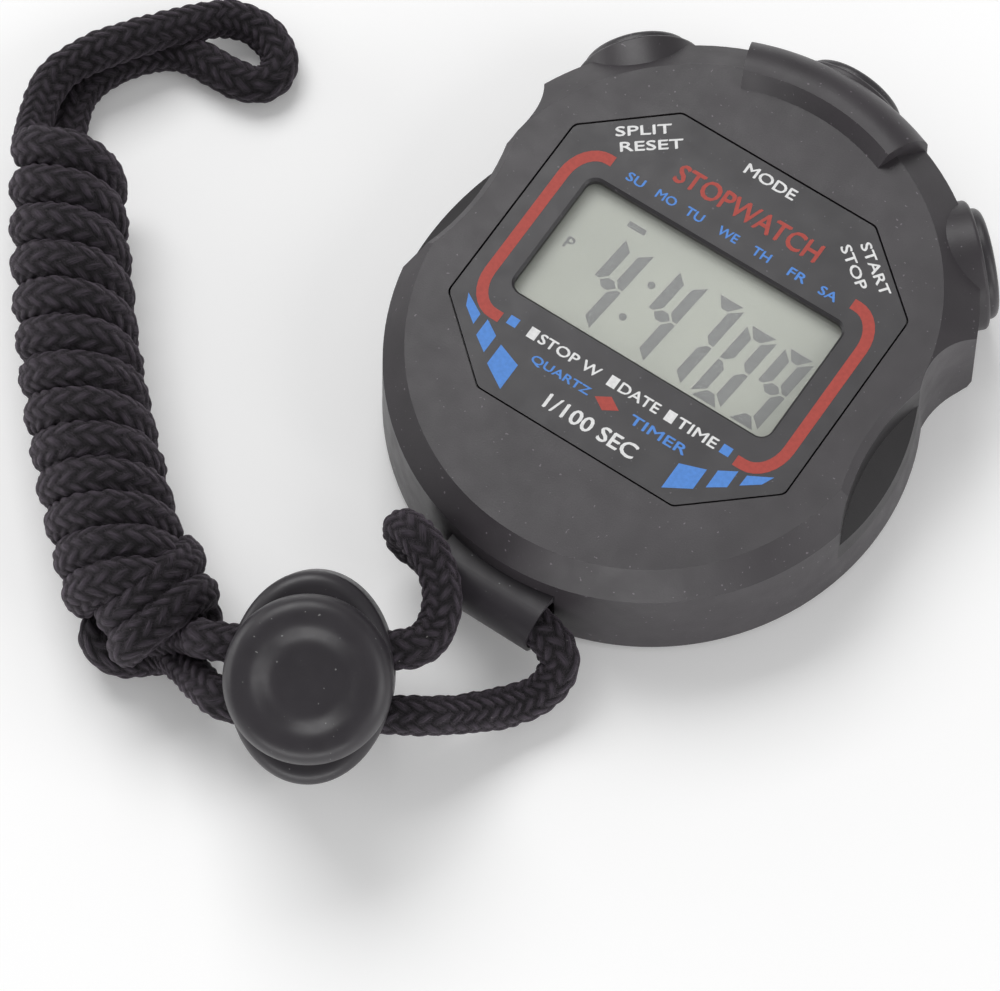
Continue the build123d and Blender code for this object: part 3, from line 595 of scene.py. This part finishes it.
def braided_cord(name, line, diameter, material):
    around = CORD_AROUND
    points, along = even_spacing(line, CORD_STEP)
    sides, ups = turning_frames(points)
    angle = np.linspace(0, 2 * math.pi, around, endpoint=False)
    turn = BRAID_STRANDS * angle / (2 * math.pi)
    advance = along / BRAID_CELL
    first = turn[None, :] + advance[:, None] / 2
    second = turn[None, :] - advance[:, None] / 2
    fraction = (first - np.floor(first), second - np.floor(second))
    # Each strand passes over two others and under two, as in a plain tubular braid.
    place = (np.floor(first) + np.floor(second)) % 4
    over = place < 2
    across = np.where(over, fraction[0], fraction[1])
    lengthways = np.where(over, (place + fraction[1]) / 2, (place - 2 + fraction[0]) / 2)
    rise = np.sin(math.pi * lengthways) ** CROWN_POWER
    crown = np.sin(math.pi * across) ** CROWN_POWER * (CROWN_LOW + (1 - CROWN_LOW) * rise)
    radius = diameter / 2 + BRAID_PROUD - BRAID_HEIGHT * (1 - crown)
    rng = np.random.default_rng(7)
    swellings = rng.normal(0, LUMP_SIZE, LUMP_COUNT)
    lumps = np.interp(along, np.linspace(0, along[-1], LUMP_COUNT), swellings)
    loose = rng.normal(0, LOOSE_SIZE, 8 * BRAID_STRANDS)
    strand = np.where(over, np.floor(first) % BRAID_STRANDS,
                      np.floor(second) % BRAID_STRANDS + BRAID_STRANDS)
    passing = np.floor(np.where(over, second, first) / 2) % 4
    radius = radius + lumps[:, None] + loose[(strand * 4 + passing).astype(int)]
    ring = (sides[:, None, :] * np.cos(angle)[None, :, None]
            + ups[:, None, :] * np.sin(angle)[None, :, None])
    ring += flattening(points, ring)
    vertices = (points[:, None, :] + ring * radius[:, :, None]).reshape(-1, 3)
    rows = len(points)
    row_starts = np.arange(rows - 1)[:, None] * around
    base = (row_starts + np.arange(around)[None, :]).ravel()
    neighbour = (row_starts + (np.arange(around) + 1)[None, :] % around).ravel()
    quads = np.stack([base, neighbour, neighbour + around, base + around], 1)
    ends = [list(range(around))[::-1], [(rows - 1) * around + i for i in range(around)]]
    faces = quads.tolist() + ends
    piece = mesh_object(name, vertices / MM, faces, material)
    # How deep each point lies between the strands; the braid's material paints shade from it.
    hollow = piece.data.attributes.new("hollow", "FLOAT", "POINT")
    hollow.data.foreach_set("value", (1 - crown).ravel().astype(np.float32))
    layer = piece.data.uv_layers.new(name="fibres")
    cell = np.where(over, np.floor(first) * 3.7, np.floor(second) * 5.3 + 0.5)
    flat_uv = np.stack([across + cell, lengthways + cell * 1.7], -1).reshape(-1, 2)
    corners = np.zeros(len(piece.data.loops), np.int32)
    piece.data.loops.foreach_get("vertex_index", corners)
    layer.data.foreach_set("uv", flat_uv[corners].ravel())
    return piece, points


def make_cord(material):
    line = smooth_line(cord_route())
    piece, points = braided_cord("cord", line, CORD_D * MM, material)
    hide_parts("cord_left", "cord_right", "cord_loop", "cord_hank")


# ---------------------------------------------------------------- prints on the dial
TEXT_RED = (0.44, 0.065, 0.05)
TEXT_BLUE = (0.09, 0.27, 0.72)
TEXT_WHITE = (0.82, 0.82, 0.82)


def thick_line(points, width):
    """Left and right edge of a bent bar with mitred corners."""
    points = [Vector(p) for p in points]
    left, right = [], []
    for i, point in enumerate(points):
        ways = []
        if i > 0:
            ways.append((point - points[i - 1]).normalized())
        if i < len(points) - 1:
            ways.append((points[i + 1] - point).normalized())
        way = sum(ways, Vector((0, 0))).normalized()
        normal = Vector((-way.y, way.x)) * (width / 2 / max(0.5, way.dot(ways[0])))
        left.append(point + normal)
        right.append(point - normal)
    return left, right


BRACKET_X = 20.65           # the upright's place, either side of the window
BRACKET_TOP = 16.9
BRACKET_BOTTOM = -7.0
BRACKET_ENDS = (16.6, 16.2) # where the top and the bottom arm stop
BRACKET_CORNER = (3.4, 4.4) # half axes of the rounded corners
BRACKET_WIDTH = 1.4
CORNER_STEPS = 8


def print_bracket(flat, side):
    """One of the two brackets beside the window, as a row of quads."""
    corner_x, corner_y = BRACKET_CORNER
    bracket = [(side * BRACKET_ENDS[0], BRACKET_TOP)]
    for start, middle_y in ((90, BRACKET_TOP - corner_y), (0, BRACKET_BOTTOM + corner_y)):
        for step in range(CORNER_STEPS + 1):
            turn = math.radians(start - step * 90 / CORNER_STEPS)
            bracket.append((side * (BRACKET_X - corner_x + corner_x * math.cos(turn)),
                            middle_y + corner_y * math.sin(turn)))
    bracket.append((side * BRACKET_ENDS[1], BRACKET_BOTTOM))
    left, right = thick_line(bracket, BRACKET_WIDTH)
    for i in range(len(left) - 1):
        outline = [left[i], right[i], right[i + 1], left[i + 1]]
        if side > 0:
            outline.reverse()
        flat.polygon([tuple(p) for p in reversed(outline)])


def print_dial(materials):
    thickness = 0.02
    red, blue, white = (Flat(PANEL_TOP - 0.005, thickness) for _ in range(3))

    for side in (-1, 1):
        print_bracket(red, side)
    red.polygon([(-1.55, -9.25), (0.1, -10.25), (1.75, -9.25), (0.1, -8.25)])
    red.text("STOPWATCH", 0.2, 20.0, 2.5, 19.6)

    weekdays = ("SU", "MO", "TU", "WE", "TH", "FR", "SA")
    places = (-13.1, -8.8, -4.9, -0.2, 4.4, 9.35, 13.6)
    for words, x in zip(weekdays, places):
        blue.text(words, x, 16.4, 1.15, 2.6 if words in ("MO", "WE") else 2.3)
    blue.text("QUARTZ", -6.3, -9.25, 1.2, 7.9)
    blue.text("TIMER", 7.2, -9.25, 1.2, 7.6)
    for side in (-1, 1):
        blue.box(side * 14.7, -6.6, 1.25, 1.2)
        blocks = [[(21.1, -6.4), (20.4, -7.9), (18.35, -9.4), (18.4, -7.9)],
                  [(17.3, -8.0), (17.3, -10.35), (15.3, -11.7), (15.3, -9.2)],
                  [(14.2, -9.8), (14.2, -12.65), (11.1, -14.5), (11.1, -10.9)]]
        for block in blocks:
            outline = [(side * px, py) for px, py in block]
            blue.polygon(outline if side < 0 else outline[::-1])

    white.text("MODE", 0.15, 24.85, 1.4, 6.8)
    for words, x, y, width in (("SPLIT", -16.0, 22.35, 6.6), ("RESET", -14.1, 21.2, 7.4)):
        white.text(words, x, y, 1.25, width, turn=37)
    for words, x, y, width in (("START", 16.4, 22.1, 7.0), ("STOP", 14.2, 20.9, 5.9)):
        white.text(words, x, y, 1.25, width, turn=-37)
    for x, words, text_x, width in ((-11.9, "STOP W", -6.8, 8.3), (-0.8, "DATE", 2.85, 5.3),
                                    (7.1, "TIME", 10.75, 5.3)):
        white.box(x, -6.6, 1.15, 1.45)
        white.text(words, text_x, -6.6, 1.3, width)
    white.text("1/100 SEC", 0.2, -12.65, 1.9, 12.2)

    for name, flat in (("red", red), ("blue", blue), ("white", white)):
        piece = flat.piece(f"dial_print_{name}", materials[name])


# ---------------------------------------------------------------- the display's digits
SEGMENTS = {"0": "abcdef", "4": "bcfg", "7": "abc", "9": "abcdfg"}


def digit(flat, value, x, y, width, height, thick, lean):
    """Seven-segment digit whose lower-left corner is (x, y)."""
    gap = thick * 0.10
    half = height / 2

    def put(points):
        flat.polygon([(x + px + lean * py, y + py) for px, py in points])

    w, h, t = width, height, thick
    shapes = {
        "a": [(t * 0.2 + gap, h), (t + gap, h - t), (w - t - gap, h - t), (w - t * 0.2 - gap, h)],
        "d": [(t * 0.2 + gap, 0), (w - t * 0.2 - gap, 0), (w - t - gap, t), (t + gap, t)],
        "g": [(gap + t * 0.5, half), (t + gap, half - t / 2), (w - t - gap, half - t / 2),
              (w - t * 0.5 - gap, half), (w - t - gap, half + t / 2), (t + gap, half + t / 2)],
        "f": [(0, half + gap), (t * 0.45, half + gap), (t, half + t * 0.6 + gap),
              (t, h - t - gap), (0, h - t * 0.2 - gap)],
        "b": [(w, half + gap), (w, h - t * 0.2 - gap), (w - t, h - t - gap),
              (w - t, half + t * 0.6 + gap), (w - t * 0.45, half + gap)],
        "e": [(0, t * 0.2 + gap), (t, t + gap), (t, half - t * 0.6 - gap),
              (t * 0.45, half - gap), (0, half - gap)],
        "c": [(w, t * 0.2 + gap), (w, half - gap), (w - t * 0.45, half - gap),
              (w - t, half - t * 0.6 - gap), (w - t, t + gap)],
    }
    for letter in SEGMENTS[value]:
        put(orient(shapes[letter]))


def orient(points):
    """The outline anticlockwise."""
    area = sum(a[0] * b[1] - b[0] * a[1] for a, b in zip(points, points[1:] + points[:1]))
    return points if area > 0 else points[::-1]


DIGIT_LEAN = 0.1            # how far a digit leans sideways for each millimetre of height
DIGIT_BASE = -2.05
DIGIT_THICK = 1.4
# Each digit's value, left edge, width and height.
DIGITS = (("4", -11.5, 3.9, 12.6), ("4", -3.95, 3.9, 12.6), ("7", 1.1, 4.0, 12.4),
          ("0", 6.5, 4.1, 11.1), ("9", 11.75, 3.9, 11.1))
COLON_DOTS = ((-4.6, 6.9), (-5.1, 1.7))
DOT_R = 0.48


def draw_display(material):
    flat = Flat(LCD_TOP + 0.005, 0.02)
    for value, x, width, height in DIGITS:
        digit(flat, value, x, DIGIT_BASE, width, height, DIGIT_THICK, DIGIT_LEAN)
    for x, y in COLON_DOTS:
        angles = np.linspace(0, 2 * math.pi, 16, endpoint=False)
        flat.polygon([(x + DOT_R * math.cos(a), y + DOT_R * math.sin(a)) for a in angles])
    flat.box(-10.1, 12.1, 2.4, 0.75)
    flat.text("P", -15.6, 6.2, 1.5, 1.0)
    piece = flat.piece("display_digits", material)


# ---------------------------------------------------------------- put it together
def dress_nodes(shades):
    """Give each carried-over CAD node its material."""
    for name, material in shades.items():
        node = nodes[name]
        node.data.materials.clear()
        node.data.materials.append(material)


def shorten_spring(name, material):
    """A copy of a spring's coil with its own mesh, attached to the watch in place of the CAD node."""
    mesh = nodes[name].data.copy()
    mesh.materials.clear()
    mesh.materials.append(material)
    piece = bpy.data.objects.new(f"{name}_coil", mesh)
    bpy.context.scene.collection.objects.link(piece)
    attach(piece, "watch")
    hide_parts(name)
    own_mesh(piece)


def make_springs(material):
    springs = {"start_stop_press": "start_stop_spring", "mode_press": "mode_spring",
               "split_reset_press": "split_reset_spring", "lock_plunger_press": "cord_lock_spring"}
    for joint in frame["joints"]:
        shorten_spring(springs[joint["name"]], material)


def main():
    make_camera()
    make_studio()
    case = moulded_plastic("case_plastic", (0.030, 0.0262, 0.030), (0.041, 0.0360, 0.041))
    panel = moulded_plastic("panel_plastic", (0.021, 0.0190, 0.022), (0.029, 0.0262, 0.030),
                            roughness=0.40, grain=0.18, depth=0.006)
    button = moulded_plastic("button_plastic", (0.027, 0.0245, 0.028), (0.037, 0.0335, 0.038), 0.38)
    gloss = polished_plastic("gloss_plastic", (0.0255, 0.0222, 0.0268), 0.40, (0.16, 0.16, 0.16))
    steel = metal("spring_steel", (0.55, 0.55, 0.57), 0.3)
    plated = metal("plated_steel", (0.7, 0.7, 0.7), 0.18)
    screws = metal("screw_steel", (0.32, 0.32, 0.33), 0.35)
    shades = {
        "front_case": case, "back_cover": case, "dial_panel": panel,
        "start_stop_button": button, "mode_button": button, "split_reset_button": button,
        "lanyard_lug": gloss, "cord_lock_body": gloss, "cord_lock_plunger": gloss,
        "display_lens": clear_sheet(), "lcd_glass": display_face(),
        "lcd_reflector": metal("reflector", (0.75, 0.75, 0.73), 0.4),
        "contact_strips": plain_matt("elastomer", (0.35, 0.35, 0.35), (0.5, 0.5, 0.5)),
        "display_frame": plain_matt("frame_plastic", (0.6, 0.6, 0.58), (0.72, 0.72, 0.7)),
        "circuit_board": plain_matt("board", (0.02, 0.12, 0.04), (0.03, 0.18, 0.06), 0.35),
        "chip_cover": polished_plastic("resin", (0.012, 0.012, 0.012)),
        "chip_components": plain_matt("component_body", (0.25, 0.18, 0.11), (0.35, 0.27, 0.18)),
        "quartz_crystal": plated, "battery_cell": plated,
        "battery_contacts": steel, "button_contacts": steel, "buzzer_springs": steel,
        "start_stop_spring": steel, "mode_spring": steel, "split_reset_spring": steel,
        "cord_lock_spring": steel,
        "piezo_buzzer": metal("brass_disc", (0.72, 0.55, 0.25), 0.35),
        "board_screws": screws, "back_screws": screws,
    }
    dress_nodes(shades)
    make_springs(steel)
    make_cord(braid_material())
    print_dial({"red": ink("print_red", TEXT_RED), "blue": ink("print_blue", TEXT_BLUE),
                "white": ink("print_white", TEXT_WHITE)})
    draw_display(plain_matt("liquid_crystal", (0.105, 0.108, 0.11), (0.125, 0.128, 0.13),
                            roughness=0.4, grain=0.3, depth=0.002))


main()
